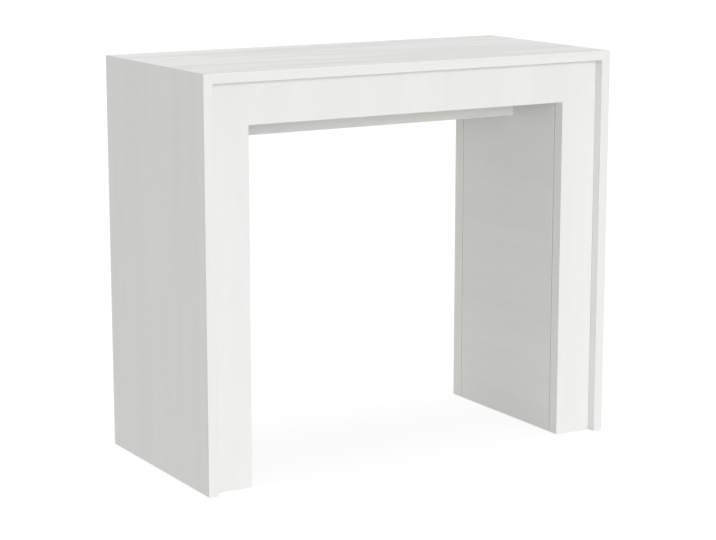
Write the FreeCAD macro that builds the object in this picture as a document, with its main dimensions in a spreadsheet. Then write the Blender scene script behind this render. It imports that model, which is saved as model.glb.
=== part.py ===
import FreeCAD, Part
import enum
import math
import os
import Sketcher

# Extending console table: a top and two sides with a rear frame stand still, and a portal of front frame,
# inner leg panels and cross board pulls out of them to the front on telescopic rails.
# Millimetres. +Z is up, the front faces -Y, and the origin is the middle of the closed table's footprint.

# Driving sizes, one cell of the sheet each
SIZES = {
    # boards
    "table_width": 900,
    "table_depth": 420,
    "table_height": 780,
    "board_thick": 19,
    "front_board_thick": 25,
    "rear_board_thick": 28,
    "front_recess": 20,
    "rear_recess": 20,
    "leg_width": 80,
    "apron_height": 80,
    "cross_board_drop": 43.5,
    "cross_board_setback": 145,
    "edge_round": 1,
    "joint_groove_width": 2.5,
    "joint_groove_depth": 4,
    # clearances between the portal and what stands still
    "side_clearance": 0.5,
    "top_clearance": 0.5,
    "closing_clearance": 2,
    # telescopic rails
    "rail_width": 13,
    "rail_height": 40,
    "rail_wall": 2,
    "rail_gap": 1,
    "rail_side_gap": 5,
    "rail_front_gap": 4,
    "rail_rear_gap": 5,
    "flange_width": 18,
    "flange_thick": 3,
    "slot_lip": 2,
    "slot_depth": 3.5,
    "slide_fit": 0.4,
    "slider_neck": 6,
    "slider_head": 14,
    "slider_length": 90,
    "slider_setback": 2,
    "peg_diameter": 4,
    "peg_inset": 15,
    "peg_grip": 0.5,
    "cap_thick": 2,
    "plug_length": 8,
    "plug_fit": 0.2,
    # rail brackets and screws
    "bracket_thick": 2.5,
    "bracket_leg": 32,
    "bracket_height": 30,
    "bracket_hole_first": 13,
    "bracket_hole_pitch": 12,
    "bracket_hole_out": 18,
    "screw_diameter": 4,
    "screw_head_diameter": 8,
    "screw_head_height": 2.4,
    "screw_point": 2,
    "screw_bite": 13,
    "screw_tail": 2.5,
    "screw_fit": 0.1,
    "recess_width": 1.2,
    "recess_length": 4.6,
    "recess_depth": 1.4,
    "rail_screw_inset": 40,
    # cam locks, bolts and dowels
    "cam_diameter": 14.8,
    "cam_fit": 0.1,
    "cam_skin": 5,
    "cam_relief": 0.2,
    "cam_reach": 34,
    "cam_overrun": 2,
    "cam_bore": 7.4,
    "bolt_diameter": 7,
    "bolt_bore": 8,
    "bolt_neck_diameter": 5,
    "bolt_neck_length": 4,
    "bolt_head_length": 5,
    "thread_diameter": 6,
    "thread_length": 11,
    "thread_fit": 0.1,
    "hole_relief": 1,
    "dowel_diameter": 8,
    "dowel_fit": 0.1,
    "dowel_face_depth": 11,
    "dowel_edge_depth": 19,
    "dowel_chamfer": 1,
    "leg_cam_margin": 110,
    "leg_dowel_margin": 50,
    "apron_dowel_margin": 20,
    "cross_dowel_margin": 16,
    "top_cam_offset": 120,
    "top_dowel_offset": 170,
    "mitre_margin": 80,
    # glides and bumpers
    "glide_diameter": 15,
    "glide_thick": 1.5,
    "glide_chamfer": 0.4,
    "glide_margin": 60,
    "bumper_diameter": 10,
    "bumper_squeeze": 0.3,
    "bumper_margin": 150,
}

# Counts
RAILS_PER_SIDE = 8
LEG_CAMS = 3
LEG_DOWELS = 4
RAIL_SCREWS = 3
MITRE_CONNECTORS = 3

FULL_TURN = 360
LEAST_CUT_SHARE = 0.3
SIDES = (("left", -1), ("right", 1))
AXES = "xyz"
DIRECTIONS = {
    "x": FreeCAD.Vector(1, 0, 0),
    "y": FreeCAD.Vector(0, 1, 0),
    "z": FreeCAD.Vector(0, 0, 1),
}
# Origin plane square to each axis, and the way its normal points along that axis
PLANES = {"x": ("YZ_Plane", 1), "y": ("XZ_Plane", -1), "z": ("XY_Plane", 1)}


class Point(enum.IntEnum):
    """The number by which a sketch knows the start, the end or the centre of a line or circle."""

    START = 1
    END = 2
    CENTRE = 3


class Datum(enum.IntEnum):
    """The number by which a sketch knows its level axis, whose start is the origin, and its upright axis."""

    LEVEL = -1
    UPRIGHT = -2


class Size:
    """A length from the sheet: its number now, and the expression that keeps a feature bound to it."""

    def __init__(self, value, text):
        self.value = value
        self.text = text

    def __add__(self, other):
        other = as_size(other)
        return Size(self.value + other.value, f"({self.text} + {other.text})")

    def __radd__(self, other):
        return as_size(other) + self

    def __sub__(self, other):
        other = as_size(other)
        return Size(self.value - other.value, f"({self.text} - {other.text})")

    def __rsub__(self, other):
        return as_size(other) - self

    def __mul__(self, factor):
        return Size(self.value * factor, f"({self.text} * ({factor}))")

    __rmul__ = __mul__

    def __truediv__(self, factor):
        return Size(self.value / factor, f"({self.text} / {factor})")

    def __neg__(self):
        return self * -1


def as_size(number):
    return number if isinstance(number, Size) else Size(number, str(number))


ZERO = as_size(0)

doc = FreeCAD.newDocument("extending_console_table")
sheet = doc.addObject("Spreadsheet::Sheet", "sizes")
for row, (alias, number) in enumerate(SIZES.items(), start=1):
    sheet.set(f"A{row}", alias)
    sheet.set(f"B{row}", str(number))
    sheet.setAlias(f"B{row}", alias)
doc.recompute()


class Sheet:
    """Reads a cell by its alias as a Size, as in cell.board_thick."""

    def __getattr__(self, alias):
        return Size(float(sheet.get(alias)), f"sizes.{alias}")


cell = Sheet()
# The objects that are written; then each set of holes, the feature before it and the volume it should take
nodes = {}
cuts = []


# Sketches and features

def bind(thing, name, size):
    thing.setExpression(name, size.text)


def place(thing, spot, rotation=None):
    """Puts an object at a spot, a Size for each axis, and turns it."""
    if rotation is not None:
        thing.Placement = FreeCAD.Placement(FreeCAD.Vector(), rotation)
    for axis in AXES:
        bind(thing, f"Placement.Base.{axis}", spot[axis])


def at(x, y, z):
    return {"x": x, "y": y, "z": z}


def across(axis):
    return [other for other in AXES if other != axis]


def new_sketch(body, axis, offset):
    """An empty sketch square to an axis, offset along it from the body's own origin."""
    role, normal = PLANES[axis]
    sketch = body.newObject("Sketcher::SketchObject", f"{body.Name}_sketch")
    plane = [feature for feature in body.Origin.OriginFeatures if feature.Role == role][0]
    sketch.AttachmentSupport = [(plane, "")]
    sketch.MapMode = "FlatFace"
    bind(sketch, "AttachmentOffset.Base.z", offset * normal)
    return sketch


def hold(sketch, kind, size, *points):
    """A driving dimension bound to a size."""
    index = sketch.addConstraint(Sketcher.Constraint(kind, *points, size.value))
    sketch.setExpression(f"Constraints[{index}]", size.text)


def hold_point(sketch, line, end, point):
    """Holds a point of the sketch from its origin by two sizes."""
    u, v = point
    for kind, axis, size in (("DistanceX", Datum.UPRIGHT, u), ("DistanceY", Datum.LEVEL, v)):
        if size.value == 0:
            sketch.addConstraint(Sketcher.Constraint("PointOnObject", line, end, axis))
        else:
            hold(sketch, kind, size, Datum.LEVEL, Point.START, line, end)


def draw_outline(sketch, corners):
    """A closed outline of straight lines through the corners."""
    first = sketch.GeometryCount
    count = len(corners)
    points = [FreeCAD.Vector(u.value, v.value, 0) for u, v in corners]
    for index in range(count):
        sketch.addGeometry(Part.LineSegment(points[index], points[(index + 1) % count]), False)
    for index, corner in enumerate(corners):
        line, following = first + index, first + (index + 1) % count
        sketch.addConstraint(Sketcher.Constraint("Coincident", line, Point.END, following, Point.START))
        hold_point(sketch, line, Point.START, corner)


def draw_circle(sketch, centre, diameter):
    middle = FreeCAD.Vector(centre[0].value, centre[1].value, 0)
    circle = sketch.addGeometry(Part.Circle(middle, DIRECTIONS["z"], diameter.value / 2), False)
    hold_point(sketch, circle, Point.CENTRE, centre)
    hold(sketch, "Diameter", diameter, circle)


def pad(body, sketch, axis, sense, length):
    """Raises a sketch along an axis, up it for sense 1 and down it for sense -1."""
    feature = body.newObject("PartDesign::Pad", f"{body.Name}_pad")
    feature.Profile = sketch
    feature.Reversed = sense != PLANES[axis][1]
    bind(feature, "Length", length)
    return feature


class Piece:
    """A body drawn from its own low corner, which stands at a spot of the table's frame."""

    def __init__(self, label, axis, corner, outlines, length, exported=True):
        self.body = doc.addObject("PartDesign::Body", label)
        self.body.Label = label
        self.corner = corner
        place(self.body, corner)
        sketch = new_sketch(self.body, axis, ZERO)
        for corners in outlines:
            draw_outline(sketch, corners)
        self.tip = pad(self.body, sketch, axis, 1, length)
        if exported:
            nodes[label] = self.body


def local(piece, axis, spot):
    """The two coordinates of a spot across an axis, from the piece's own corner."""
    return tuple(spot[other] - piece.corner[other] for other in across(axis))


def drill(piece, axis, sense, start, spots, diameter, depth):
    """Round holes that enter at start along the axis, up it for sense 1 and down it for sense -1."""
    sketch = new_sketch(piece.body, axis, start - piece.corner[axis])
    for spot in spots:
        draw_circle(sketch, local(piece, axis, spot), diameter)
    pocket = piece.body.newObject("PartDesign::Pocket", f"{piece.body.Name}_holes")
    pocket.Profile = sketch
    pocket.Reversed = sense == PLANES[axis][1]
    bind(pocket, "Length", depth)
    bore = math.pi * (diameter.value / 2) ** 2
    cuts.append((piece.tip, pocket, len(spots) * bore * depth.value))
    piece.tip = pocket


def round_edges(piece, along, wanted=None):
    """Rounds the straight edges that run along an axis, all of them or those whose depth is wanted."""
    chosen = []
    for number, edge in enumerate(piece.tip.Shape.Edges, start=1):
        run = edge.Vertexes[-1].Point - edge.Vertexes[0].Point
        if abs(run.normalize().dot(DIRECTIONS[along])) < 1 - Part.Precision.approximation():
            continue
        if wanted is None or wanted(edge.CenterOfMass.y + piece.corner["y"].value):
            chosen.append(f"Edge{number}")
    fillet = piece.body.newObject("PartDesign::Fillet", f"{piece.body.Name}_rounding")
    fillet.Base = (piece.tip, chosen)
    bind(fillet, "Radius", cell.edge_round)
    piece.tip = fillet


def turned_piece(label, profile):
    """A body of revolution about Z from the half profile, given as pairs of radius and height."""
    body = doc.addObject("PartDesign::Body", label)
    sketch = new_sketch(body, "y", ZERO)
    draw_outline(sketch, profile)
    turning = body.newObject("PartDesign::Revolution", f"{label}_turning")
    turning.Profile = sketch
    turning.ReferenceAxis = (sketch, ["V_Axis"])
    turning.Angle = FULL_TURN
    return body


def rectangle(width, height):
    return [(ZERO, ZERO), (width, ZERO), (width, height), (ZERO, height)]


def box_outline(low_u, low_v, high_u, high_v):
    return [(low_u, low_v), (high_u, low_v), (high_u, high_v), (low_u, high_v)]


def low_side(sign, near, far):
    """The lower x of a span that lies between two distances from the middle, left or right of it."""
    return near if sign > 0 else -far


def mirrored(sign, outline, total):
    """An outline drawn from the outer side inwards, as it lies on the left or on the right."""
    if sign < 0:
        return outline
    return [(total - u, v) for u, v in reversed(outline)]


def spread(low, high, count):
    """Evenly spaced sizes from low to high."""
    return [low + (high - low) * index / (count - 1) for index in range(count)]


def group(label, master, seats):
    """One node of many copies of a master, each at a spot and turned."""
    copies = []
    for number, (spot, rotation) in enumerate(seats, start=1):
        copy = doc.addObject("App::Link", f"{label}_{number}")
        copy.LinkedObject = master
        place(copy, spot, rotation)
        copies.append(copy)
    together = doc.addObject("Part::Compound", label)
    together.Label = label
    together.Links = copies
    nodes[label] = together


def pointing(axis, sense):
    """The turn that brings a master's +Z to an axis, up or down it."""
    return FreeCAD.Rotation(DIRECTIONS["z"], DIRECTIONS[axis] * sense)


# Places shared by the pieces

half_width = cell.table_width / 2
front_edge = -cell.table_depth / 2
rear_edge = cell.table_depth / 2
board_low = cell.glide_thick
under_top = cell.table_height - cell.board_thick
side_inner = half_width - cell.board_thick
leg_outer = side_inner - cell.side_clearance
leg_inner = leg_outer - cell.leg_width
panel_outer = leg_inner + cell.board_thick
front_face = front_edge + cell.front_recess
front_back = front_face + cell.front_board_thick
rear_face = rear_edge - cell.rear_recess
rear_front = rear_face - cell.rear_board_thick
panel_rear = rear_front - cell.closing_clearance
portal_top = under_top - cell.top_clearance
apron_low = portal_top - cell.apron_height
rail_low = portal_top - cell.rail_height
cross_top = rail_low - cell.top_clearance
cross_low = apron_low - cell.cross_board_drop
cross_front = front_back + cell.cross_board_setback
cross_rear = cross_front + cell.board_thick
front_middle = front_face + cell.front_board_thick / 2
rear_middle = rear_front + cell.rear_board_thick / 2
cross_middle = cross_front + cell.board_thick / 2
half_board = cell.board_thick / 2
leg_height = portal_top - board_low
rear_leg_height = under_top - board_low


# Boards

def top_panel():
    """Top board with a mitre at each end, drawn as its section from the front."""
    thick = cell.board_thick
    section = [(thick, ZERO), (cell.table_width - thick, ZERO), (cell.table_width, thick), (ZERO, thick)]
    return Piece("top_panel", "y", at(-half_width, front_edge, under_top), [section], cell.table_depth)


def side_panel(side, sign):
    """Outer side board whose upper end is mitred to meet the top."""
    thick = cell.board_thick
    height = cell.table_height - board_low
    section = [(ZERO, ZERO), (thick, ZERO), (thick, height - thick), (ZERO, height)]
    corner = at(low_side(sign, side_inner, half_width), front_edge, board_low)
    return Piece(f"{side}_side_panel", "y", corner, [mirrored(sign, section, thick)], cell.table_depth)


def frame_leg(label, sign, outer, face, thick, height):
    """Leg board of a frame, as wide as the space beside the knee opening."""
    corner = at(low_side(sign, leg_inner, outer), face, board_low)
    return Piece(label, "z", corner, [rectangle(outer - leg_inner, thick)], height)


def frame_apron(label, face, thick, height):
    """Apron board between the two leg boards of a frame."""
    return Piece(label, "z", at(-leg_inner, face, apron_low), [rectangle(leg_inner * 2, thick)], height)


def inner_panel(side, sign):
    """Board of the portal that closes the inner side of a leg, with a fine groove beside the front leg."""
    thick, depth = cell.board_thick, panel_rear - front_back
    groove, floor = cell.joint_groove_width, thick - cell.joint_groove_depth
    outline = [(ZERO, ZERO), (floor, ZERO), (floor, groove), (thick, groove), (thick, depth), (ZERO, depth)]
    corner = at(low_side(sign, leg_inner, panel_outer), front_back, board_low)
    return Piece(f"{side}_inner_panel", "z", corner, [mirrored(sign, outline, thick)], leg_height)


def cross_board():
    """Board half way back that ties the inner panels together under the rails."""
    corner = at(-leg_inner, cross_front, cross_low)
    outline = rectangle(leg_inner * 2, cell.board_thick)
    return Piece("cross_board", "z", corner, [outline], cross_top - cross_low)


top = top_panel()
side_panels = {side: side_panel(side, sign) for side, sign in SIDES}
rear_legs, front_legs = {}, {}
for side, sign in SIDES:
    rear_legs[side] = frame_leg(
        f"rear_{side}_leg", sign, side_inner, rear_front, cell.rear_board_thick, rear_leg_height)
    front_legs[side] = frame_leg(
        f"front_{side}_leg", sign, leg_outer, front_face, cell.front_board_thick, leg_height)
rear_apron = frame_apron("rear_apron", rear_front, cell.rear_board_thick, under_top - apron_low)
front_apron = frame_apron("front_apron", front_face, cell.front_board_thick, cell.apron_height)
inner_panels = {side: inner_panel(side, sign) for side, sign in SIDES}
cross = cross_board()

# Long edges are rounded. A leg's outward edges stay sharp, so that it meets the apron without a groove and
# the side panel with only a hairline, and so do an inner panel's edges at the front leg.
doc.recompute()
for piece in (top, rear_apron, front_apron, cross):
    round_edges(piece, "x")
for side, sign in SIDES:
    round_edges(side_panels[side], "z")
    round_edges(inner_panels[side], "z", lambda depth: depth > cross_middle.value)
    round_edges(front_legs[side], "z", lambda depth: depth > front_middle.value)
    round_edges(rear_legs[side], "z", lambda depth: depth < rear_middle.value)


# Cam locks, bolts and dowels

cam_axis = half_board
cam_depth = cell.board_thick - cell.cam_skin
cam_hole = cell.cam_diameter + cell.cam_fit * 2
thread_hole = cell.thread_diameter + cell.thread_fit * 2
thread_hole_depth = cell.thread_length + cell.hole_relief
dowel_hole = cell.dowel_diameter + cell.dowel_fit * 2


def cylinder(label, diameter, length, spot=None, rotation=None):
    solid = doc.addObject("Part::Cylinder", label)
    bind(solid, "Radius", diameter / 2)
    bind(solid, "Height", length)
    if spot is not None:
        place(solid, spot, rotation)
    return solid


def cross_recess(label, face):
    """Two crossed slots for a screwdriver, sunk from a face that lies across Z."""
    blades = []
    half_long, half_short = cell.recess_length / 2, cell.recess_width / 2
    for turn, (half_u, half_v) in enumerate(((half_long, half_short), (half_short, half_long))):
        blade = doc.addObject("Part::Box", f"{label}_{turn}")
        bind(blade, "Length", half_u * 2)
        bind(blade, "Width", half_v * 2)
        bind(blade, "Height", cell.recess_depth)
        place(blade, at(-half_u, -half_v, face))
        blades.append(blade)
    return blades


def cut_away(label, base, tools):
    together = doc.addObject("Part::MultiFuse", f"{label}_tools")
    together.Shapes = tools
    cut = doc.addObject("Part::Cut", label)
    cut.Base = base
    cut.Tool = together
    return cut


def cam_master():
    """Cam lock: a drum flush with the board's face, bored from the side for the bolt's head."""
    drum = cylinder("cam_drum", cell.cam_diameter, cam_depth - cell.cam_relief)
    bore_length = cell.cam_diameter / 2 + cell.cam_overrun
    start = at(-cell.cam_overrun, ZERO, cam_axis)
    bore = cylinder("cam_side_bore", cell.cam_bore, bore_length, start, pointing("x", 1))
    return cut_away("cam_lock", drum, [bore] + cross_recess("cam_recess", ZERO))


def bolt_master():
    """Cam bolt from the tip of its thread to its head, with a waist that the cam grips."""
    thread, shank = cell.thread_diameter / 2, cell.bolt_diameter / 2
    waist = cell.bolt_neck_diameter / 2
    shoulder = cell.thread_length
    end = shoulder + cell.cam_reach + cell.cam_overrun - cell.hole_relief
    head = end - cell.bolt_head_length
    neck = head - cell.bolt_neck_length
    return turned_piece("cam_bolt", [
        (ZERO, ZERO), (thread, ZERO), (thread, shoulder), (shank, shoulder), (shank, neck),
        (waist, neck), (waist, head), (shank, head), (shank, end), (ZERO, end),
    ])


def dowel_master():
    """Wooden dowel with chamfered ends."""
    radius, bevel = cell.dowel_diameter / 2, cell.dowel_chamfer
    length = cell.dowel_face_depth + cell.dowel_edge_depth
    return turned_piece("dowel", [
        (ZERO, ZERO), (radius - bevel, ZERO), (radius, bevel),
        (radius, length - bevel), (radius - bevel, length), (ZERO, length),
    ])


def mitre_bolt_master():
    """Folding bolt of a mitred corner: two arms that meet in a round knuckle."""
    reach = cell.cam_reach + cell.cam_overrun - cell.hole_relief
    arms = [
        cylinder("mitre_arm_level", cell.bolt_diameter, reach, at(ZERO, ZERO, ZERO), pointing("x", 1)),
        cylinder("mitre_arm_upright", cell.bolt_diameter, reach, at(ZERO, ZERO, ZERO), pointing("z", -1)),
    ]
    knuckle = doc.addObject("Part::Sphere", "mitre_knuckle")
    bind(knuckle, "Radius", cell.bolt_diameter / 2)
    bolt = doc.addObject("Part::MultiFuse", "mitre_bolt")
    bolt.Shapes = arms + [knuckle]
    return bolt


def cam_turn(inward_axis, inward, bolt_axis, bolt_sense):
    """The turn of a cam whose drum goes inward and whose side bore faces the bolt."""
    drum = DIRECTIONS[inward_axis] * inward
    mouth = DIRECTIONS[bolt_axis] * bolt_sense
    return FreeCAD.Rotation(mouth, drum.cross(mouth), drum, "ZXY")


def cam_joint(cam_board, bolt_board, axis, sense, contact, face_axis, face, inward, places):
    """Bolts from one board into cams of the other: drills both, and gives the seats of cams and bolts."""
    rank = [other for other in AXES if other not in (axis, face_axis)][0]
    line = face + cam_axis * inward
    spots = [{axis: contact, face_axis: line, rank: spot} for spot in places]
    drill(bolt_board, axis, -sense, contact, spots, thread_hole, thread_hole_depth)
    drill(cam_board, axis, sense, contact, spots, cell.bolt_bore, cell.cam_reach)
    cam_spots = [{axis: contact + cell.cam_reach * sense, face_axis: face, rank: spot} for spot in places]
    drill(cam_board, face_axis, inward, face, cam_spots, cam_hole, cam_depth)
    cams = [(spot, cam_turn(face_axis, inward, axis, -sense)) for spot in cam_spots]
    tip = contact - cell.thread_length * sense
    bolts = [({**spot, axis: tip}, pointing(axis, sense)) for spot in spots]
    return cams, bolts


def dowel_joint(face_board, edge_board, axis, sense, contact, spots):
    """Dowels from the face of one board into the edge of the other, which lies to the sense side of it."""
    drill(face_board, axis, -sense, contact, spots, dowel_hole, cell.dowel_face_depth + cell.hole_relief)
    drill(edge_board, axis, sense, contact, spots, dowel_hole, cell.dowel_edge_depth + cell.hole_relief)
    tip = contact - cell.dowel_face_depth * sense
    return [({**spot, axis: tip}, pointing(axis, sense)) for spot in spots]


carcass_cams, carcass_bolts, carcass_dowels, mitre_bolts = [], [], [], []
portal_cams, portal_bolts, portal_dowels = [], [], []


def fasten(cams, bolts, joint):
    cams += joint[0]
    bolts += joint[1]


cam_heights = spread(board_low + cell.leg_cam_margin, portal_top - cell.leg_cam_margin, LEG_CAMS)
dowel_heights = spread(board_low + cell.leg_dowel_margin, portal_top - cell.leg_dowel_margin, LEG_DOWELS)
apron_middle = apron_low + cell.apron_height / 2
apron_dowel_heights = [apron_low + cell.apron_dowel_margin, portal_top - cell.apron_dowel_margin]
cross_height = (cross_low + cross_top) / 2
cross_dowel_heights = [cross_low + cell.cross_dowel_margin, cross_top - cell.cross_dowel_margin]

for side, sign in SIDES:
    seam = leg_inner * sign
    wall = side_inner * sign
    panel_middle = (leg_inner + half_board) * sign
    # front leg to inner panel
    fasten(portal_cams, portal_bolts, cam_joint(
        inner_panels[side], front_legs[side], "y", 1, front_back,
        "x", panel_outer * sign, -sign, cam_heights))
    portal_dowels += dowel_joint(front_legs[side], inner_panels[side], "y", 1, front_back, [
        at(panel_middle, front_back, height) for height in dowel_heights])
    # front leg to apron
    fasten(portal_cams, portal_bolts, cam_joint(
        front_apron, front_legs[side], "x", -sign, seam, "y", front_back, -1, [apron_middle]))
    portal_dowels += dowel_joint(front_legs[side], front_apron, "x", -sign, seam, [
        at(seam, front_middle, height) for height in apron_dowel_heights])
    # inner panel to cross board
    fasten(portal_cams, portal_bolts, cam_joint(
        cross, inner_panels[side], "x", -sign, seam, "y", cross_rear, -1, [cross_height]))
    portal_dowels += dowel_joint(inner_panels[side], cross, "x", -sign, seam, [
        at(seam, cross_middle, height) for height in cross_dowel_heights])
    # rear leg to outer side
    fasten(carcass_cams, carcass_bolts, cam_joint(
        rear_legs[side], side_panels[side], "x", -sign, wall, "y", rear_front, 1, cam_heights))
    carcass_dowels += dowel_joint(side_panels[side], rear_legs[side], "x", -sign, wall, [
        at(wall, rear_middle, height) for height in dowel_heights])
    # rear leg to apron
    fasten(carcass_cams, carcass_bolts, cam_joint(
        rear_apron, rear_legs[side], "x", -sign, seam, "y", rear_front, 1, [apron_middle]))
    carcass_dowels += dowel_joint(rear_legs[side], rear_apron, "x", -sign, seam, [
        at(seam, rear_middle, height) for height in apron_dowel_heights])

# rear apron to top
top_cam_places = [cell.top_cam_offset * sign for _, sign in SIDES]
fasten(carcass_cams, carcass_bolts, cam_joint(
    rear_apron, top, "z", -1, under_top, "y", rear_front, 1, top_cam_places))
carcass_dowels += dowel_joint(top, rear_apron, "z", -1, under_top, [
    at(cell.top_dowel_offset * sign, rear_middle, under_top) for _, sign in SIDES])

# top to sides, in the mitres
mitre_places = spread(front_edge + cell.mitre_margin, rear_edge - cell.mitre_margin, MITRE_CONNECTORS)
mitre_height = cell.table_height - half_board
mitre_bore_length = half_board + cell.cam_reach
for side, sign in SIDES:
    corner_x = (half_width - half_board) * sign
    spots = [at(corner_x, spot, mitre_height) for spot in mitre_places]
    drill(top, "x", -sign, half_width * sign, spots, cell.bolt_bore, mitre_bore_length)
    drill(side_panels[side], "z", -1, cell.table_height, spots, cell.bolt_bore, mitre_bore_length)
    top_spots = [{**spot, "x": corner_x - cell.cam_reach * sign, "z": under_top} for spot in spots]
    side_spots = [{**spot, "x": side_inner * sign, "z": mitre_height - cell.cam_reach} for spot in spots]
    drill(top, "z", 1, under_top, top_spots, cam_hole, cam_depth)
    drill(side_panels[side], "x", sign, side_inner * sign, side_spots, cam_hole, cam_depth)
    carcass_cams += [(spot, cam_turn("z", 1, "x", sign)) for spot in top_spots]
    carcass_cams += [(spot, cam_turn("x", sign, "z", 1)) for spot in side_spots]
    half_turn = FreeCAD.Rotation(DIRECTIONS["z"], 0 if sign < 0 else FULL_TURN / 2)
    mitre_bolts += [(spot, half_turn) for spot in spots]

cam_lock, cam_bolt, dowel, mitre_bolt = cam_master(), bolt_master(), dowel_master(), mitre_bolt_master()
group("carcass_cam_locks", cam_lock, carcass_cams)
group("carcass_cam_bolts", cam_bolt, carcass_bolts)
group("carcass_dowels", dowel, carcass_dowels)
group("mitre_bolts", mitre_bolt, mitre_bolts)
group("portal_cam_locks", cam_lock, portal_cams)
group("portal_cam_bolts", cam_bolt, portal_bolts)
group("portal_dowels", dowel, portal_dowels)


# Telescopic rails, side by side from the leg inwards: each one's slot takes the slide block of the one before

rail_pitch = cell.rail_width + cell.rail_gap
first_rail_outer = leg_inner - cell.rail_side_gap - cell.flange_width
rail_start = front_back + cell.rail_front_gap
rail_end = rear_front - cell.rail_rear_gap
rail_length = rail_end - rail_start
slot_mouth = cell.slider_neck + cell.slide_fit * 2
slot_height = cell.slider_head + cell.slide_fit * 2
slot_bottom = cell.slot_lip + cell.slot_depth
rail_middle = rail_low + cell.rail_height / 2
neck_length = cell.rail_gap + cell.slot_lip + cell.slide_fit
head_thick = cell.slot_depth - cell.slide_fit * 2
peg_hole = cell.peg_diameter + cell.plug_fit * 2
screw_hole = cell.screw_diameter + cell.screw_fit * 2


def rail_outer(number):
    """Distance from the table's middle to a rail's outer side; the first rail is fixed under the top."""
    return first_rail_outer - rail_pitch * (number - 1)


def rail_inner(number):
    return rail_outer(number) - cell.rail_width


def slot_corners(rise):
    """The slot's corners from its upper mouth round to its lower mouth, on the outer side of a rail."""
    middle = rise + cell.rail_height / 2
    mouth_low, mouth_high = middle - slot_mouth / 2, middle + slot_mouth / 2
    low, high = middle - slot_height / 2, middle + slot_height / 2
    return [
        (ZERO, mouth_high), (cell.slot_lip, mouth_high), (cell.slot_lip, high), (slot_bottom, high),
        (slot_bottom, low), (cell.slot_lip, low), (cell.slot_lip, mouth_low), (ZERO, mouth_low),
    ]


def chambers(shift, rise, behind):
    """The three hollows of a rail: below the slot, behind it and above it."""
    wall = cell.rail_wall
    middle = rise + cell.rail_height / 2
    low, high = middle - slot_height / 2, middle + slot_height / 2
    near, far = shift + wall, shift + cell.rail_width - wall
    return [
        box_outline(near, rise + wall, far, low - wall),
        box_outline(shift + behind, low, far, high),
        box_outline(near, high + wall, far, rise + cell.rail_height - wall),
    ]


def fixed_rail_section():
    """First rail: no slot, and a flange at its top that lies against the table top."""
    reach, width = cell.flange_width, cell.rail_width
    height = cell.rail_height + cell.top_clearance
    under = height - cell.flange_thick
    outer = [(reach, ZERO), (reach + width, ZERO), (reach + width, height), (ZERO, height), (ZERO, under),
             (reach, under)]
    return [outer] + chambers(reach, ZERO, cell.rail_wall), reach + width


def middle_rail_section():
    """Rails between the first and the last: a slot on the outer side."""
    width, height = cell.rail_width, cell.rail_height
    outer = [(ZERO, ZERO), (width, ZERO), (width, height), (ZERO, height)] + slot_corners(ZERO)
    return [outer] + chambers(ZERO, ZERO, slot_bottom + cell.rail_wall), width


def portal_rail_section():
    """Last rail: a slot on the outer side, and a flange at its foot that lies on the cross board."""
    width, reach, rise = cell.rail_width, cell.flange_width, cell.top_clearance
    height = cell.rail_height + rise
    over = cell.flange_thick
    outer = [(ZERO, ZERO), (width + reach, ZERO), (width + reach, over), (width, over), (width, height),
             (ZERO, height)] + slot_corners(rise)
    return [outer] + chambers(ZERO, rise, slot_bottom + cell.rail_wall), width + reach


def rail(side, sign, number):
    """One extruded member of the left or right set."""
    far, low = rail_outer(number), rail_low
    if number == 1:
        outlines, total = fixed_rail_section()
        far = far + cell.flange_width
    elif number == RAILS_PER_SIDE:
        outlines, total = portal_rail_section()
        low = cross_top
    else:
        outlines, total = middle_rail_section()
    corner = at(low_side(sign, far - total, far), rail_start, low)
    outlines = [mirrored(sign, outline, total) for outline in outlines]
    return Piece(f"{side}_rail_{number}", "y", corner, outlines, rail_length)


slider_start = rail_start + cell.slider_setback
peg_places = [slider_start + cell.peg_inset, slider_start + cell.slider_length - cell.peg_inset]


def slide_block(side, sign, number):
    """Slide block pegged to the inner side of a rail; its head runs in the next rail's slot."""
    low, high = (cell.slider_head - cell.slider_neck) / 2, (cell.slider_head + cell.slider_neck) / 2
    total = neck_length + head_thick
    section = [
        (ZERO, low), (neck_length, low), (neck_length, ZERO), (total, ZERO), (total, cell.slider_head),
        (neck_length, cell.slider_head), (neck_length, high), (ZERO, high),
    ]
    far = rail_inner(number)
    corner = at(low_side(sign, far - total, far), slider_start, rail_middle - cell.slider_head / 2)
    label = f"{side}_slide_block_{number}"
    piece = Piece(label, "y", corner, [mirrored(sign, section, total)], cell.slider_length, exported=False)
    sketch = new_sketch(piece.body, "x", far * sign - corner["x"])
    for spot in peg_places:
        draw_circle(sketch, local(piece, "x", at(ZERO, spot, rail_middle)), cell.peg_diameter)
    piece.tip = pad(piece.body, sketch, "x", sign, cell.rail_wall + cell.peg_grip)
    return piece.body


def cap_master():
    """End cap of a rail: a plate with two plugs that go into the upper and lower hollows."""
    plate = rectangle(cell.rail_width, cell.rail_height)
    piece = Piece("rail_end_cap", "y", at(ZERO, ZERO, ZERO), [plate], cell.cap_thick, exported=False)
    sketch = new_sketch(piece.body, "y", cell.cap_thick)
    lower, _, upper = chambers(ZERO, ZERO, slot_bottom + cell.rail_wall)
    for hollow in (lower, upper):
        (low_u, low_v), _, (high_u, high_v), _ = hollow
        fit = cell.plug_fit
        draw_outline(sketch, box_outline(low_u + fit, low_v + fit, high_u - fit, high_v - fit))
    pad(piece.body, sketch, "y", 1, cell.plug_length)
    return piece.body


rails = {}
for number in range(1, RAILS_PER_SIDE + 1):
    for side, sign in SIDES:
        rails[side, number] = rail(side, sign, number)

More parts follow.
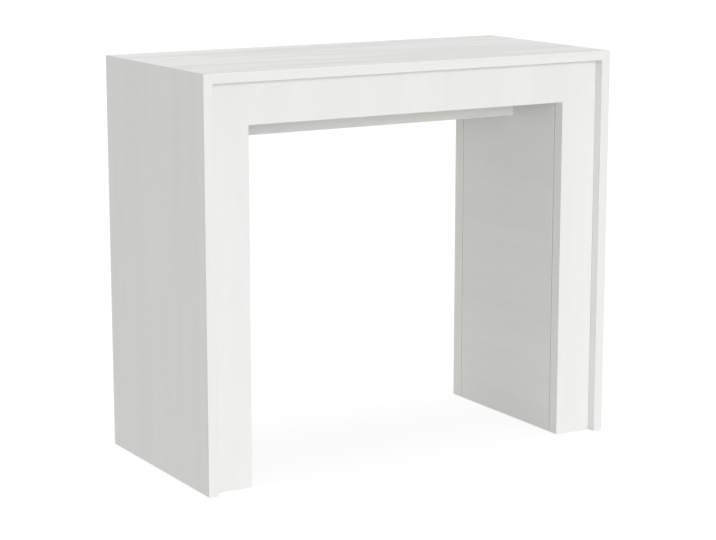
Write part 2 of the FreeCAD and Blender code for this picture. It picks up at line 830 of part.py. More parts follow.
for number in range(1, RAILS_PER_SIDE):
    blocks = []
    for side, sign in SIDES:
        pegs = [at(rail_inner(number) * sign, spot, rail_middle) for spot in peg_places]
        drill(rails[side, number], "x", sign, rail_inner(number) * sign, pegs, peg_hole, cell.rail_wall)
        blocks.append(slide_block(side, sign, number))
    pair = doc.addObject("Part::Compound", f"rail_{number}_slide_blocks")
    pair.Label = f"rail_{number}_slide_blocks"
    pair.Links = blocks
    nodes[pair.Label] = pair

end_cap = cap_master()
unturned = FreeCAD.Rotation()
turned_round = FreeCAD.Rotation(DIRECTIONS["z"], FULL_TURN / 2)
for number in range(1, RAILS_PER_SIDE + 1):
    seats = []
    for side, sign in SIDES:
        low_x = low_side(sign, rail_inner(number), rail_outer(number))
        seats.append((at(low_x, rail_start - cell.cap_thick, rail_low), unturned))
        seats.append((at(low_x + cell.rail_width, rail_end + cell.cap_thick, rail_low), turned_round))
    group(f"rail_{number}_end_caps", end_cap, seats)


# Brackets and screws of the rails

def rail_bracket(side, sign):
    """Steel angle that ties the last rail to the back of the front apron."""
    leg, thick = cell.bracket_leg, cell.bracket_thick
    angle = [(ZERO, ZERO), (leg, ZERO), (leg, thick), (thick, thick), (thick, leg), (ZERO, leg)]
    far = rail_inner(RAILS_PER_SIDE)
    corner = at(low_side(sign, far - leg, far), front_back, rail_middle - cell.bracket_height / 2)
    return Piece(f"{side}_rail_bracket", "z", corner, [mirrored(sign, angle, leg)], cell.bracket_height)


def screw_master(label, length):
    """Round-headed screw with a pointed end, of the given length under its head."""
    shank, head = cell.screw_diameter / 2, cell.screw_head_diameter / 2
    top_of_head = length + cell.screw_head_height
    flank = length + cell.screw_head_height / 2
    body = turned_piece(f"{label}_blank", [
        (ZERO, ZERO), (shank, cell.screw_point), (shank, length), (head, length), (head, flank),
        (head - cell.screw_head_height / 2, top_of_head), (ZERO, top_of_head),
    ])
    return cut_away(label, body, cross_recess(f"{label}_recess", top_of_head - cell.recess_depth))


def screw_seat(spot, axis, sense, length):
    """A screw driven along an axis, whose head rests on a spot."""
    return {**spot, axis: spot[axis] + length * sense}, pointing(axis, -sense)


rail_screw_length = cell.flange_thick + cell.screw_bite
bracket_screw_length = cell.bracket_thick + cell.screw_bite
short_screw_length = cell.bracket_thick + cell.rail_wall + cell.screw_tail
screw_hole_depth = cell.screw_bite + cell.hole_relief
rail_screw_ends = (rail_start + cell.rail_screw_inset, rail_end - cell.rail_screw_inset)
rail_screw_places = spread(*rail_screw_ends, RAIL_SCREWS)
flange_under = under_top - cell.flange_thick
flange_over = cross_top + cell.flange_thick
bracket_back = front_back + cell.bracket_thick
top_screws, cross_screws, apron_screws, side_screws = [], [], [], []

for side, sign in SIDES:
    # first rail to top
    line = (first_rail_outer + cell.flange_width / 2) * sign
    spots = [at(line, spot, flange_under) for spot in rail_screw_places]
    drill(rails[side, 1], "z", 1, flange_under, spots, screw_hole, cell.flange_thick)
    drill(top, "z", 1, under_top, spots, screw_hole, screw_hole_depth)
    top_screws += [screw_seat(spot, "z", 1, rail_screw_length) for spot in spots]
    # last rail to cross board
    line = (rail_inner(RAILS_PER_SIDE) - cell.flange_width / 2) * sign
    spots = [at(line, cross_middle, flange_over)]
    drill(rails[side, RAILS_PER_SIDE], "z", -1, flange_over, spots, screw_hole, cell.flange_thick)
    drill(cross, "z", -1, cross_top, spots, screw_hole, screw_hole_depth)
    cross_screws += [screw_seat(spot, "z", -1, rail_screw_length) for spot in spots]
    # bracket to front apron
    bracket = rail_bracket(side, sign)
    line = (rail_inner(RAILS_PER_SIDE) - cell.bracket_hole_out) * sign
    half_pitch = cell.bracket_hole_pitch / 2
    spots = [at(line, bracket_back, rail_middle + half_pitch * way) for way in (-1, 1)]
    drill(bracket, "y", -1, bracket_back, spots, screw_hole, cell.bracket_thick)
    drill(front_apron, "y", -1, front_back, spots, screw_hole, screw_hole_depth)
    apron_screws += [screw_seat(spot, "y", -1, bracket_screw_length) for spot in spots]
    # bracket to last rail
    rail_side = rail_inner(RAILS_PER_SIDE) * sign
    plate_side = rail_side - cell.bracket_thick * sign
    first_hole = front_back + cell.bracket_hole_first
    second_hole = first_hole + cell.bracket_hole_pitch
    spots = [at(plate_side, spot, rail_middle) for spot in (first_hole, second_hole)]
    drill(bracket, "x", sign, plate_side, spots, screw_hole, cell.bracket_thick)
    drill(rails[side, RAILS_PER_SIDE], "x", sign, rail_side, spots, screw_hole, cell.rail_wall)
    side_screws += [screw_seat(spot, "x", sign, short_screw_length) for spot in spots]

rail_screw = screw_master("rail_screw", rail_screw_length)
group("top_rail_screws", rail_screw, top_screws)
group("cross_board_screws", rail_screw, cross_screws)
group("bracket_apron_screws", screw_master("bracket_apron_screw", bracket_screw_length), apron_screws)
group("bracket_rail_screws", screw_master("bracket_rail_screw", short_screw_length), side_screws)


# Glides under the boards, and bumpers that the inner panels close against

def disc_master(label, diameter, thick, bevel):
    """Flat disc with a bevelled lower rim."""
    radius = diameter / 2
    return turned_piece(label, [
        (ZERO, ZERO), (radius - bevel, ZERO), (radius, bevel), (radius, thick), (ZERO, thick)])


glide = disc_master("glide", cell.glide_diameter, cell.glide_thick, cell.glide_chamfer)
bumper_thick = cell.closing_clearance - cell.bumper_squeeze
bumper = disc_master("bumper", cell.bumper_diameter, bumper_thick, cell.glide_chamfer)
carcass_glides, portal_glides, bumpers = [], [], []
for side, sign in SIDES:
    side_line = (half_width - half_board) * sign
    panel_line = (leg_inner + half_board) * sign
    for spot in (front_edge + cell.glide_margin, rear_edge - cell.glide_margin):
        carcass_glides.append((at(side_line, spot, ZERO), unturned))
    carcass_glides.append((at((leg_inner + side_inner) / 2 * sign, rear_middle, ZERO), unturned))
    for spot in (front_back + cell.glide_margin, panel_rear - cell.glide_margin):
        portal_glides.append((at(panel_line, spot, ZERO), unturned))
    portal_glides.append((at((leg_inner + leg_outer) / 2 * sign, front_middle, ZERO), unturned))
    for height in (board_low + cell.bumper_margin, portal_top - cell.bumper_margin):
        bumpers.append((at(panel_line, rear_front - bumper_thick, height), pointing("y", 1)))
group("carcass_glides", glide, carcass_glides)
group("portal_glides", glide, portal_glides)
group("closing_bumpers", bumper, bumpers)


# Test every object, then write each sub-part

doc.recompute()
for thing in doc.Objects:
    if "Invalid" in thing.State or "Error" in thing.State:
        raise RuntimeError(f"{thing.Label} failed: {thing.State}")
for label, thing in nodes.items():
    if thing.Shape.isNull() or not thing.Shape.isValid():
        raise RuntimeError(f"{label} has no valid shape")
for before, pocket, volume in cuts:
    if before.Shape.Volume - pocket.Shape.Volume < LEAST_CUT_SHARE * volume:
        raise RuntimeError(f"{pocket.Label} misses its board")

os.makedirs("parts", exist_ok=True)
for label, thing in nodes.items():
    thing.Shape.exportStep(os.path.join("parts", f"{label}.step"))
print(f"wrote {len(nodes)} sub-parts; rail length {rail_length.value} mm")
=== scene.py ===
# %% [markdown]
# # A white extending console table
#
# The table is a stack of white boards: a top and two sides joined by mitres, a rear frame between them,
# and a front portal that pulls out on telescopic aluminium rails. The boards, rails and fasteners arrive
# as exact solids, each already tied to the body that moves it. This script gives them their finishes,
# adds the small press-in covers that hide the joint fittings, and sets a plain studio with a camera.

# %% Load the solids
import math

import bpy
import numpy as np
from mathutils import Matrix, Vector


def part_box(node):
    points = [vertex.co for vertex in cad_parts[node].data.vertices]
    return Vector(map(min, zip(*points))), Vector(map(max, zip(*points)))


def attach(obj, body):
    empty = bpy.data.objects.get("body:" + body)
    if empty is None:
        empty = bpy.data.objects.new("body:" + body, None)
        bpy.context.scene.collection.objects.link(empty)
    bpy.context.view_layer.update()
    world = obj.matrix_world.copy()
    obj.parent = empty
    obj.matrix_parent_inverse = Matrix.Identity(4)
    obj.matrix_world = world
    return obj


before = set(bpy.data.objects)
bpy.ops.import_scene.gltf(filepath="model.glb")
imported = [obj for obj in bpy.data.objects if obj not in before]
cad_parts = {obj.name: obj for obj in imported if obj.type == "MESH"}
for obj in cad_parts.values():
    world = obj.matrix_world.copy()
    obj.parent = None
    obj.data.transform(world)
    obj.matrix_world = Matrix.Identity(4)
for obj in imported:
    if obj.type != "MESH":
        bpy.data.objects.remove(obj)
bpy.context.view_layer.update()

scene = bpy.context.scene

# %% [markdown]
# ## Node graphs written as arithmetic
#
# A procedural finish is a graph of nodes. It could be drawn by hand in the shader editor, but in a script
# the graph is easier to read as arithmetic: each call below makes one node, fills its sockets and hands
# back the result, so that it can be used in the next line. The finishes, the floor and the sky all use
# this helper.

# %% A graph of nodes
class Graph:
    """A node tree under construction."""

    def __init__(self, tree):
        self.tree = tree

    def node(self, kind, inputs=(), **settings):
        """One node: settings are its options, and inputs are links where they are sockets, else values."""
        made = self.tree.nodes.new(kind)
        for key, value in settings.items():
            setattr(made, key, value)
        for key, value in dict(inputs).items():
            self.feed(made.inputs[key], value)
        return made

    def feed(self, socket, value):
        """Links a node's result to a socket, or writes a plain value on it."""
        if isinstance(value, bpy.types.NodeSocket):
            self.tree.links.new(value, socket)
        else:
            socket.default_value = value

    def calc(self, operation, *values):
        """The result of a Math node."""
        return self.node("ShaderNodeMath", enumerate(values), operation=operation).outputs[0]

    def step(self, value, low, high):
        """0 below low, 1 above high, and a smooth slope between them."""
        limits = {"Value": value, "From Min": low, "From Max": high}
        return self.node("ShaderNodeMapRange", limits, interpolation_type="SMOOTHSTEP").outputs["Result"]

    def span(self, value, low, high, start=0.0, end=1.0):
        """Stretches start..end to low..high, and stays at low or high outside."""
        limits = {"Value": value, "From Min": start, "From Max": end, "To Min": low, "To Max": high}
        return self.node("ShaderNodeMapRange", limits).outputs["Result"]

    def tint(self, amount, first, second):
        """A colour between two, by an amount from 0 to 1."""
        colours = {0: amount, 6: (*first, 1), 7: (*second, 1)}
        return self.node("ShaderNodeMix", colours, data_type="RGBA").outputs[2]


print("graph calls:", [name for name in vars(Graph) if not name.startswith("_")])

# %% [markdown]
# ## A finish
#
# A finish is a material with one main shader. Colour, roughness and relief vary over the surface, so they
# are links; a value that is the same all over, such as how metallic it is, is written straight on the
# shader's own socket, because an export then keeps it. Patterns are laid out in the object's own
# coordinates, in metres, so they need no unwrapping, keep their true size and move along with the piece.

# %% Finish: a material and its patterns
SEED_STEPS = (7.3, 3.1, 5.7)  # how far the noise moves along X, Y and Z per seed


class Finish(Graph):
    """A material under construction, with its main shader and the object's own coordinates at hand."""

    def __init__(self, name, metallic=0.0):
        self.material = bpy.data.materials.new(name)
        self.material.use_nodes = True
        super().__init__(self.material.node_tree)
        self.shader = next(n for n in self.tree.nodes if n.type == "BSDF_PRINCIPLED")
        self.shader.inputs["Metallic"].default_value = metallic
        self.place = self.node("ShaderNodeTexCoord").outputs

    def axes(self, output):
        """The X, Y and Z parts of the object's coordinates or of the surface's normal."""
        return dict(zip("XYZ", self.node("ShaderNodeSeparateXYZ", {0: self.place[output]}).outputs))

    def noise(self, size, seed, detail=2.0, roughness=0.5, vector=None):
        """Cloudy noise whose lumps measure size, three lengths in metres; a seed picks a stretch of it."""
        placed = self.node("ShaderNodeMapping", {
            "Vector": vector or self.place["Object"],
            "Location": [seed * step for step in SEED_STEPS],
            "Scale": [1 / length for length in size]})
        made = self.node("ShaderNodeTexNoise", {
            "Vector": placed.outputs[0], "Scale": 1.0, "Detail": detail, "Roughness": roughness})
        return made.outputs[0]

    def surface(self, colour, roughness, height, depth):
        """Links the three to the shader; the relief is depth metres high where height goes from 0 to 1."""
        relief = self.node("ShaderNodeBump", {"Height": height, "Distance": depth, "Strength": 1.0})
        self.feed(self.shader.inputs["Base Color"], colour)
        self.feed(self.shader.inputs["Roughness"], roughness)
        self.feed(self.shader.inputs["Normal"], relief.outputs[0])


def dress(finish, *names):
    """Puts a finish into the material slot of each named solid."""
    for name in names:
        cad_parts[name].material_slots[0].material = finish.material


print("slots of a board:", [s.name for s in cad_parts["top_panel"].material_slots])

# %% [markdown]
# ## White ash
#
# The boards are chipboard faced with white melamine that is printed and embossed like ash. From a step
# back only pale bands along the grain show; close up there are growth lines that nest in long arches, and
# rows of fine pores pressed into the surface. An image could carry that, but a solid pattern runs on from
# a face round its edge. Contour lines of a noise that is stretched along the grain give the arches, and a
# second, much finer noise gives the pores, which crowd on one side of each growth line as they do in ash.

# %% The grain of ash
GRAIN = {
    # pattern: length along the grain and width across it in metres, shift of the seed, detail, roughness
    "bands": (0.70, 0.055, 0.0, 1.0, 0.5),
    "streaks": (0.30, 0.007, 0.3, 3.0, 0.6),
    "figure": (0.95, 0.10, 0.6, 1.5, 0.4),
    "pores": (0.011, 0.00055, 0.9, 1.0, 0.5),
}
BAND_CUT, GROWTH_CUT, PORE_CUT = (0.36, 0.64), (0.25, 0.95), (0.50, 0.66)
GROWTH_LINES = 17.0
SPARSE_PORES = 0.25


def ash_grain(finish, wood, seed):
    """Growth lines are fractions of a stretched noise times a count; pores are a fine noise, cut off."""
    clouds = {
        name: finish.noise((length, width, width), seed + shift, detail, roughness, wood)
        for name, (length, width, shift, detail, roughness) in GRAIN.items()}
    rings = finish.calc("FRACT", finish.calc("MULTIPLY", clouds["figure"], GROWTH_LINES))
    growth = finish.step(rings, *GROWTH_CUT)
    pores = finish.step(clouds["pores"], *PORE_CUT)
    return {
        "bands": finish.step(clouds["bands"], *BAND_CUT),
        "streaks": clouds["streaks"],
        "growth": growth,
        "pores": finish.calc("MULTIPLY", pores, finish.span(growth, SPARSE_PORES, 1.0))}


print("patterns in the grain:", list(GRAIN))

# %% [markdown]
# ## Banded edges
#
# The edges of a board are thin glued strips. On the ends of a board the pattern is turned, because the
# grain of a strip runs along the strip, and a hairline shows where the strip meets the face. The strips
# could be pieces of their own, but they are under a millimetre thick and flush, so the surface's normal
# and the distance from the middle of the board are enough to tell where they are.

# %% Faces, ends and hairlines of a board
STRIP_THICK, HAIRLINE = 0.0008, 0.00025
LEAST_FACING = 0.7


def facing(finish, axis):
    """1 where the surface looks along an axis, either way, else 0."""
    return finish.calc("GREATER_THAN", finish.calc("ABSOLUTE", finish.axes("Normal")[axis]), LEAST_FACING)


def wood_place(finish, grain, across, thick):
    """Coordinates along, across and through the wood; on the ends of a board the first two change places."""
    axes, end = finish.axes("Object"), facing(finish, grain)
    along = finish.node("ShaderNodeMix", {0: end, 2: axes[grain], 3: axes[across]}).outputs[0]
    beside = finish.node("ShaderNodeMix", {0: end, 2: axes[across], 3: axes[grain]}).outputs[0]
    return finish.node("ShaderNodeCombineXYZ", {0: along, 1: beside, 2: axes[thick]}).outputs[0]


def strip_line(finish, board, axis):
    """1 on a hairline that lies a strip's thickness inside both ends of the board on an axis, else 0."""
    low, high = (corner["XYZ".index(axis)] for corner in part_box(board))
    off = finish.calc("ABSOLUTE", finish.calc("SUBTRACT", finish.axes("Object")[axis], (low + high) / 2))
    return finish.calc("COMPARE", off, (high - low) / 2 - STRIP_THICK, HAIRLINE / 2)


print("hairline", HAIRLINE * 1000, "mm wide,", STRIP_THICK * 1000, "mm from the edge")

# %% [markdown]
# ## The twelve boards
#
# Each board has its own grain direction: upright on the sides and frames, along the length on the top,
# and level on the two panels inside the legs. The three boards of a frame share one figure, as if cut
# from one sheet. The top lies in the light and shows its print most. The rest is so pale that only a hint
# of it is left.

# %% White ash on one board
ASH_LIGHT, ASH_SHADE = (0.875, 0.874, 0.866), (0.666, 0.665, 0.640)
SHARES = {"bands": 0.34, "streaks": 0.28, "growth": 0.13, "pores": 0.22}
EDGE_STRENGTH, LINE_SHADE = 0.18, 0.4
FACE_ROUGHNESS, PORE_ROUGHNESS, STRIP_SMOOTHING = (0.54, 0.66), 0.14, 0.85
GROWTH_HOLLOW, EMBOSSING = 0.3, 0.00005


def white_ash(board, grain, across, seed, strength, banded):
    """The shade is the sum of the patterns times their shares, times the strength, plus the hairline."""
    finish = Finish("white_ash_" + board)
    thick = next(axis for axis in "XYZ" if axis not in (grain, across))
    face = facing(finish, thick)
    pattern = ash_grain(finish, wood_place(finish, grain, across, thick), seed)
    shade = 0.0
    for name, share in SHARES.items():
        shade = finish.calc("MULTIPLY_ADD", pattern[name], share, shade)
    shade = finish.calc("MULTIPLY", shade, finish.span(face, EDGE_STRENGTH, strength))
    line = finish.calc("MULTIPLY", strip_line(finish, board, banded), face)
    shade = finish.calc("MULTIPLY_ADD", line, LINE_SHADE, shade)
    smooth = finish.span(pattern["streaks"], *FACE_ROUGHNESS)
    rough = finish.calc("MULTIPLY_ADD", pattern["pores"], PORE_ROUGHNESS, smooth)
    hollow = finish.calc("MULTIPLY_ADD", pattern["growth"], GROWTH_HOLLOW, pattern["pores"])
    finish.surface(
        colour=finish.tint(shade, ASH_LIGHT, ASH_SHADE),
        roughness=finish.calc("MULTIPLY", rough, finish.span(face, STRIP_SMOOTHING, 1.0)),
        height=finish.calc("SUBTRACT", 1.0, hollow),
        depth=EMBOSSING)
    dress(finish, board)


print("white ash from", ASH_LIGHT, "to", ASH_SHADE)

# %% The boards
BOARDS = {
    # board: grain axis, axis across it, seed of its figure, its strength, axis whose ends carry a strip
    "top_panel": ("X", "Y", 1, 1.0, "Y"),
    "left_side_panel": ("Z", "Y", 2, 0.22, "Y"),
    "right_side_panel": ("Z", "Y", 3, 0.22, "Y"),
    "front_left_leg": ("Z", "X", 4, 0.18, "X"),
    "front_right_leg": ("Z", "X", 4, 0.18, "X"),
    "front_apron": ("Z", "X", 4, 0.18, "Z"),
    "rear_left_leg": ("Z", "X", 5, 0.18, "X"),
    "rear_right_leg": ("Z", "X", 5, 0.18, "X"),
    "rear_apron": ("Z", "X", 5, 0.18, "Z"),
    "left_inner_panel": ("Y", "Z", 6, 0.22, "Y"),
    "right_inner_panel": ("Y", "Z", 7, 0.22, "Y"),
    "cross_board": ("X", "Z", 8, 0.22, "Z"),
}
for board, facts in BOARDS.items():
    white_ash(board, *facts)
print("boards in white ash:", len(BOARDS))

# %% [markdown]
# ## Aluminium rails
#
# The telescopic rails are extruded and satin anodised. The die leaves very fine lines along their length,
# which spread a reflection sideways. That could be done with an anisotropic shader, but that needs
# tangents; here a noise that is stretched almost endlessly along Y varies the roughness and a relief of a
# few microns instead.

# %% Rails
DIE_LINES, SATIN_CLOUDS = (0.0007, 1.5, 0.0007), (0.03, 0.12, 0.03)
SATIN_TONES = ((0.70, 0.71, 0.72), (0.78, 0.79, 0.80))
SATIN_ROUGHNESS, LINE_ROUGHNESS, LINE_DEPTH = (0.24, 0.32), 0.16, 0.000006
STAGES = 8
rails = [f"{side}_rail_{stage}" for side in ("left", "right") for stage in range(1, STAGES + 1)]
aluminium = Finish("satin_aluminium", metallic=1.0)
lines = aluminium.noise(DIE_LINES, seed=1.0, detail=3.0, roughness=0.65)
clouds = aluminium.noise(SATIN_CLOUDS, seed=2.0)
satin = aluminium.span(clouds, *SATIN_ROUGHNESS)
aluminium.surface(
    colour=aluminium.tint(clouds, *SATIN_TONES),
    roughness=aluminium.calc("MULTIPLY_ADD", lines, LINE_ROUGHNESS, satin),
    height=lines,
    depth=LINE_DEPTH)
dress(aluminium, *rails)
print("rails in aluminium:", len(rails))

# %% [markdown]
# ## Zinc-plated fittings
#
# Cam locks, bolts, brackets and screws show from below and when the table is open. Zinc plating is a
# bright metal with faint blue and straw patches. A plain grey metal would do from afar; two soft colours
# and fine scuffs keep the fittings from looking like chrome.

# %% Fittings
ZINC_PATCHES, PATCH_CUT, ZINC_SCUFFS = (0.006, 0.006, 0.006), (0.3, 0.7), (0.0012, 0.0012, 0.0002)
BLUISH, STRAW = (0.62, 0.65, 0.69), (0.70, 0.68, 0.62)
ZINC_ROUGHNESS, SCUFF_DEPTH = (0.22, 0.46), 0.00001
fittings = [
    "carcass_cam_locks", "carcass_cam_bolts", "mitre_bolts", "portal_cam_locks", "portal_cam_bolts",
    "left_rail_bracket", "right_rail_bracket", "top_rail_screws", "cross_board_screws",
    "bracket_apron_screws", "bracket_rail_screws"]
zinc = Finish("bright_zinc", metallic=1.0)
patches = zinc.step(zinc.noise(ZINC_PATCHES, seed=3.0), *PATCH_CUT)
scuffs = zinc.noise(ZINC_SCUFFS, seed=4.0, detail=3.0, roughness=0.6)
zinc.surface(
    colour=zinc.tint(patches, BLUISH, STRAW),
    roughness=zinc.span(scuffs, *ZINC_ROUGHNESS),
    height=scuffs,
    depth=SCUFF_DEPTH)
dress(zinc, *fittings)
print("fittings in zinc:", len(fittings))

# %% [markdown]
# ## Moulded parts
#
# Slide blocks are natural nylon, end caps and glides are hard plastics, and the closing bumpers are a
# dull rubber with a dusty bloom. Moulds are spark-eroded, which leaves a fine grain in the relief that
# keeps the parts from looking like wax. One function covers them all, because they differ only in their
# two colours, the size of the texture and the gloss.

# %% Nylon, plastics and rubber
MOULD_FLOW = (0.012, 0.03, 0.012)
MOULDED = {
    # finish: its two colours, size of the texture, least and most roughness, depth of the texture
    "natural_nylon": ((0.78, 0.78, 0.74), (0.84, 0.84, 0.81), 0.0011, (0.34, 0.50), 0.00002),
    "cap_plastic": ((0.15, 0.15, 0.16), (0.18, 0.18, 0.19), 0.0006, (0.46, 0.66), 0.00004),
    "glide_plastic": ((0.82, 0.82, 0.81), (0.86, 0.86, 0.85), 0.0014, (0.28, 0.42), 0.00001),
    "bumper_rubber": ((0.40, 0.40, 0.41), (0.48, 0.48, 0.49), 0.0004, (0.70, 0.88), 0.00003),
}


def moulded(name, first, second, size, roughness, depth):
    """Two close colours in soft clouds, and a texture whose size in millimetres is the clouds' seed."""
    finish = Finish(name)
    flow = finish.noise(MOULD_FLOW, seed=size * 1000)
    texture = finish.noise((size, size, size), seed=5.0, roughness=0.6)
    finish.surface(finish.tint(flow, first, second), finish.span(texture, *roughness), texture, depth)
    return finish


mouldings = {name: moulded(name, *facts) for name, facts in MOULDED.items()}
dress(mouldings["natural_nylon"], *[f"rail_{stage}_slide_blocks" for stage in range(1, STAGES)])
dress(mouldings["cap_plastic"], *[f"rail_{stage}_end_caps" for stage in range(1, STAGES + 1)])
dress(mouldings["glide_plastic"], "carcass_glides", "portal_glides")
dress(mouldings["bumper_rubber"], "closing_bumpers")
print("moulded finishes:", list(mouldings))

# %% [markdown]
# ## Beech dowels
#
# The dowels are raw beech, pale brown with short dark flecks along their length. Most of them lie along
# X, so both noises are drawn out along X: a short one for the flecks and a longer one for the tone. A
# wood with rings would need more than that, but beech shows hardly any, and a dowel is only 8 mm thick.

# %% Dowels
BEECH_FLECKS, FLECK_CUT, BEECH_TONE = (0.004, 0.0006, 0.0006), (0.52, 0.70), (0.03, 0.002, 0.002)
BEECH_LIGHT, BEECH_SHADE = (0.74, 0.57, 0.39), (0.60, 0.42, 0.26)
BEECH_ROUGHNESS, FLECK_DEPTH = (0.55, 0.70), 0.00004
beech = Finish("raw_beech")
flecks = beech.step(beech.noise(BEECH_FLECKS, seed=6.0, detail=1.0), *FLECK_CUT)
tone = beech.noise(BEECH_TONE, seed=7.0)
mean = beech.calc("MULTIPLY", beech.calc("ADD", flecks, tone), 0.5)
beech.surface(
    colour=beech.tint(mean, BEECH_LIGHT, BEECH_SHADE),
    roughness=beech.span(tone, *BEECH_ROUGHNESS),
    height=flecks,
    depth=FLECK_DEPTH)
dress(beech, "carcass_dowels", "portal_dowels")
print("dowels in beech:", beech.material.name)

# %% [markdown]
# ## Press-in covers over the joint fittings
#
# Where a round fitting sits in a face that can be seen from under the table, a white plastic cover is
# pressed over it. A cover is a flat dome with a rolled rim: a profile turned round its own axis. It could
# be a cylinder with a bevel, but a turned profile gives the crown directly, with few faces. The profile's
# radius and height are the cosine and sine of an angle, each raised to a small power, which is a
# superellipse: nearly flat on top and tightly round at the rim.

# %% The profile of a cover
COVER_RADIUS, COVER_CROWN, COVER_POWER = 0.009, 0.0012, 0.45
COVER_STEPS, COVER_SPOKES = 9, 36


def cover_profile():
    """From the middle of the back to the rim, then to the crown by a cosine and a sine, raised to a power."""
    angle = np.linspace(0.0, math.pi / 2, COVER_STEPS)
    reach = COVER_RADIUS * np.cos(angle) ** COVER_POWER
    rise = COVER_CROWN * np.sin(angle) ** COVER_POWER
    reach[-1] = 0.0
    return np.append(0.0, reach), np.append(0.0, rise)


print("cover", COVER_RADIUS * 2000, "mm wide and", COVER_CROWN * 1000, "mm high")


# %% A profile turned round an axis
def turned(reach, rise, around):
    """Points, quads and triangles of a turned profile.

    x and y are the reach times the cosine and sine of an angle, and z is the rise. A ring whose reach is 0
    is kept as one point, a pole, and the faces that meet it are triangles.
    """
    angle = np.linspace(0.0, 2 * math.pi, around, endpoint=False)
    x, y = reach[:, None] * np.cos(angle), reach[:, None] * np.sin(angle)
    grid = np.stack([x, y, np.broadcast_to(rise[:, None], x.shape)], -1)
    keep = (reach[:, None] > 0) | (np.arange(around) == 0)
    here = np.cumsum(keep).reshape(keep.shape) - 1
    after = np.roll(here, -1, axis=1)
    quads = np.stack([here[:-1], after[:-1], after[1:], here[1:]], -1)
    starts, ends = reach[:-1] == 0, reach[1:] == 0
    fans = np.concatenate([quads[starts][..., 1:], quads[ends][..., :3]])
    return grid[keep], quads[~starts & ~ends].reshape(-1, 4), fans.reshape(-1, 3)


one_cover = turned(*cover_profile(), COVER_SPOKES)
print("points, quads and triangles of a cover:", [len(part) for part in one_cover])


# %% Covers in one mesh
def mesh_piece(name, points, quads, fans):
    """A piece from points, four-sided faces and triangles."""
    mesh = bpy.data.meshes.new(name)
    mesh.from_pydata(points.tolist(), [], quads.tolist() + fans.tolist())
    piece = bpy.data.objects.new(name, mesh)
    scene.collection.objects.link(piece)
    print(name, "faces:", len(mesh.polygons), "had to be mended:", mesh.validate())
    return piece


def press_covers(name, seats, outwards):
    """Every cover in one mesh: seat + x * side + y * up + z * outwards for each point of one cover."""
    points, quads, fans = one_cover
    up = np.array((0.0, 0.0, 1.0))
    turn = np.array((np.cross(up, outwards), up, outwards))
    placed = np.array(seats)[:, None] + points @ turn
    first = len(points) * np.arange(len(seats))[:, None, None]
    piece = mesh_piece(
        name, placed.reshape(-1, 3), (quads + first).reshape(-1, 4), (fans + first).reshape(-1, 3))
    piece.data.shade_smooth()
    piece.data.materials.append(mouldings["glide_plastic"].material)
    return piece


# %% Covers on the portal and on the carcass
FITTING_INSET, TOP_FITTING_X = 0.034, 0.12
(apron_low, apron_high), (cross_low, cross_high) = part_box("front_apron"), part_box("cross_board")
rear_low, rear_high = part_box("rear_apron")
fitting_x = apron_high.x - FITTING_INSET
apron_z, cross_z = (apron_low.z + apron_high.z) / 2, (cross_low.z + cross_high.z) / 2
rear_z = rear_high.z - FITTING_INSET
portal_seats = [
    (side * fitting_x, y, z)
    for side in (-1, 1) for y, z in ((apron_high.y, apron_z), (cross_high.y, cross_z))]
carcass_seats = [
    (side * x, rear_low.y, z)
    for side in (-1, 1) for x, z in ((fitting_x, apron_z), (TOP_FITTING_X, rear_z))]
portal_covers = press_covers("portal_covers", portal_seats, (0, 1, 0))
carcass_covers = press_covers("carcass_covers", carcass_seats, (0, -1, 0))
for piece, body in ((portal_covers, "portal"), (carcass_covers, "carcass")):
    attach(piece, body)

# %% [markdown]
# ## The floor
#
# The floor is a large pale disc, so that no edge shows from any side. Where the camera sees it, also in a
# mirror, it is lifted to white, yet it keeps a share of plain diffuse shading, so the shadow of the table
# stays on it. The lift could simply be more light, but that would brighten the table too. A ray that has
# met a dull surface on its way therefore sees the plain paint: a pale floor, lighter under the table, as
# if a white card lay there; photographers do that to keep the inside of the legs from going dull. Seen
# from underneath the floor lets the view through, so that the table can be looked at from below.

# %% The disc
FLOOR_RADIUS, FLOOR_RINGS, FLOOR_SPOKES = 40.0, 12, 96
share = np.linspace(1.0, 0.0, FLOOR_RINGS + 1) ** 2
floor = mesh_piece("floor", *turned(FLOOR_RADIUS * share, 0.0 * share, FLOOR_SPOKES))


# %% The floor's paint
def seen_directly(graph):
    """1 for rays from the camera, a reflection or a pane that met no dull surface before, else 0."""
    rays = graph.node("ShaderNodeLightPath").outputs
    mirrored = graph.calc("MAXIMUM", rays["Is Glossy Ray"], rays["Is Transmission Ray"])
    seen = graph.calc("MAXIMUM", rays["Is Camera Ray"], mirrored)
    return graph.calc("MULTIPLY", seen, graph.calc("LESS_THAN", rays["Diffuse Depth"], 1.0))


CARD_COLOUR, FLOOR_COLOUR, SHADOW_SHARE = (0.885, 0.885, 0.845), (0.65, 0.65, 0.63), (0.25, 0.25, 0.25)
CARD_EDGE = (0.3, 0.6)
LIFT = 0.815
paint = bpy.data.materials.new("pale_floor")
paint.use_nodes = True
paint.node_tree.nodes.clear()
ground = Graph(paint.node_tree)
place = ground.node("ShaderNodeTexCoord").outputs["Object"]
away = ground.node("ShaderNodeVectorMath", {0: place}, operation="LENGTH").outputs["Value"]
pale = ground.tint(ground.span(away, 0.0, 1.0, *CARD_EDGE), CARD_COLOUR, FLOOR_COLOUR)
bounce = ground.node("ShaderNodeBsdfDiffuse", {"Color": pale}).outputs[0]
shadow = ground.node("ShaderNodeBsdfDiffuse", {"Color": (*SHADOW_SHARE, 1)}).outputs[0]
lift = ground.node("ShaderNodeEmission", {"Color": (1, 1, 1, 1), "Strength": LIFT}).outputs[0]
lifted = ground.node("ShaderNodeAddShader", {0: shadow, 1: lift}).outputs[0]
above = ground.node("ShaderNodeMixShader", {0: seen_directly(ground), 1: bounce, 2: lifted}).outputs[0]
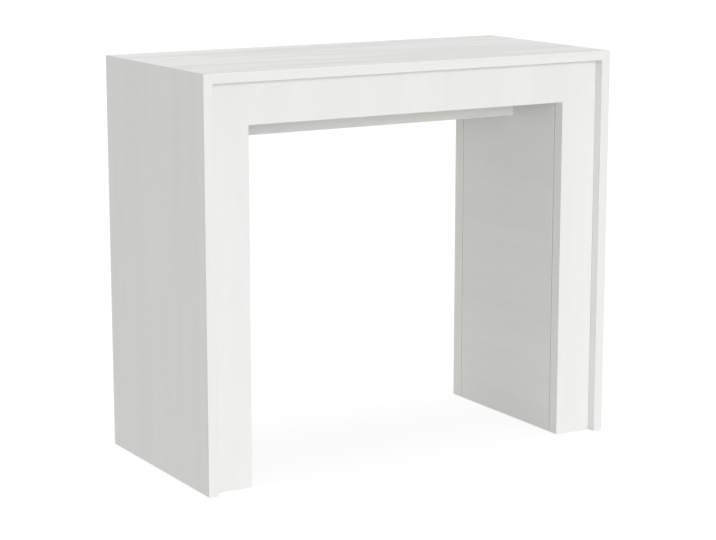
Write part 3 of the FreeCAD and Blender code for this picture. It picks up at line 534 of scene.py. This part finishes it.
below = ground.node("ShaderNodeBsdfTransparent").outputs[0]
side = ground.node("ShaderNodeNewGeometry").outputs["Backfacing"]
both = ground.node("ShaderNodeMixShader", {0: side, 1: above, 2: below}).outputs[0]
ground.node("ShaderNodeOutputMaterial", {0: both})
floor.data.materials.append(paint)
print("floor nodes:", len(ground.tree.nodes))

# %% [markdown]
# ## Sky and lamps
#
# The sky is an even pale light that is white where it is seen. Two sun lamps with wide discs give the
# boards their different tones: one in front, low and a little to the left, so that it reaches under the
# apron and leaves only a thin shadow below the edge of the top, and one overhead. Area lamps could do it
# too, but they light the portal more strongly the further it is pulled out towards them, while a sun is
# equally strong everywhere. Neither lamp shows in reflections, as if a polarising filter stood before it:
# else its glare would wash out the top from behind.

# %% Sky
SKY_LIGHT, SKY_SEEN = 0.505, 1.0
scene.world = bpy.data.worlds.new("studio")
scene.world.use_nodes = True
air = Graph(scene.world.node_tree)
sky = next(n for n in air.tree.nodes if n.type == "BACKGROUND")
sky.inputs["Color"].default_value = (1, 1, 1, 1)
air.feed(sky.inputs["Strength"], air.span(seen_directly(air), SKY_LIGHT, SKY_SEEN))
print("sky gives", SKY_LIGHT, "and shows as", SKY_SEEN)

# %% Lamps
LAMPS = {
    # lamp: bearing to the left of straight ahead, height and width in degrees, strength in watts per m2
    "front_lamp": (13.5, 12.0, 24.0, 1.41),
    "overhead_lamp": (0.0, 90.0, 36.0, 0.98),
}
for name, (bearing, height, width, strength) in LAMPS.items():
    lamp = bpy.data.lights.new(name, "SUN")
    lamp.angle = math.radians(width)
    lamp.energy = strength
    stand = bpy.data.objects.new(name, lamp)
    stand.visible_glossy = False
    stand.rotation_euler = (math.radians(90.0 - height), 0.0, math.radians(-bearing))
    scene.collection.objects.link(stand)
    print(name, "bearing", bearing, "height", height, "strength", strength)

# %% [markdown]
# ## The camera
#
# The view is from the front left, a little above the top. The place, the turn and the length of the lens
# were worked out from where the corners of the table fall in the picture: three directions of parallel
# edges give the turn and the tilt, and the size of the table then gives the distance.

# %% Camera
EYE = (-2.082, -3.477, 1.153)
YAW, PITCH = math.radians(30.83), math.radians(11.26)
SENSOR_WIDTH, LENS = 36.0, 103.93
view = bpy.data.cameras.new("view")
view.sensor_width = SENSOR_WIDTH
view.lens = LENS
eye = bpy.data.objects.new("view", view)
eye.location = EYE
eye.rotation_euler = (math.pi / 2 - PITCH, 0.0, -YAW)
scene.collection.objects.link(eye)
scene.camera = eye
scene.view_settings.view_transform = "Standard"
print("camera", EYE, "lens", LENS)

# %% [markdown]
# ## Size of the dressed model
#
# A dressed model should be as large as its solids, since the covers lie inside the table.
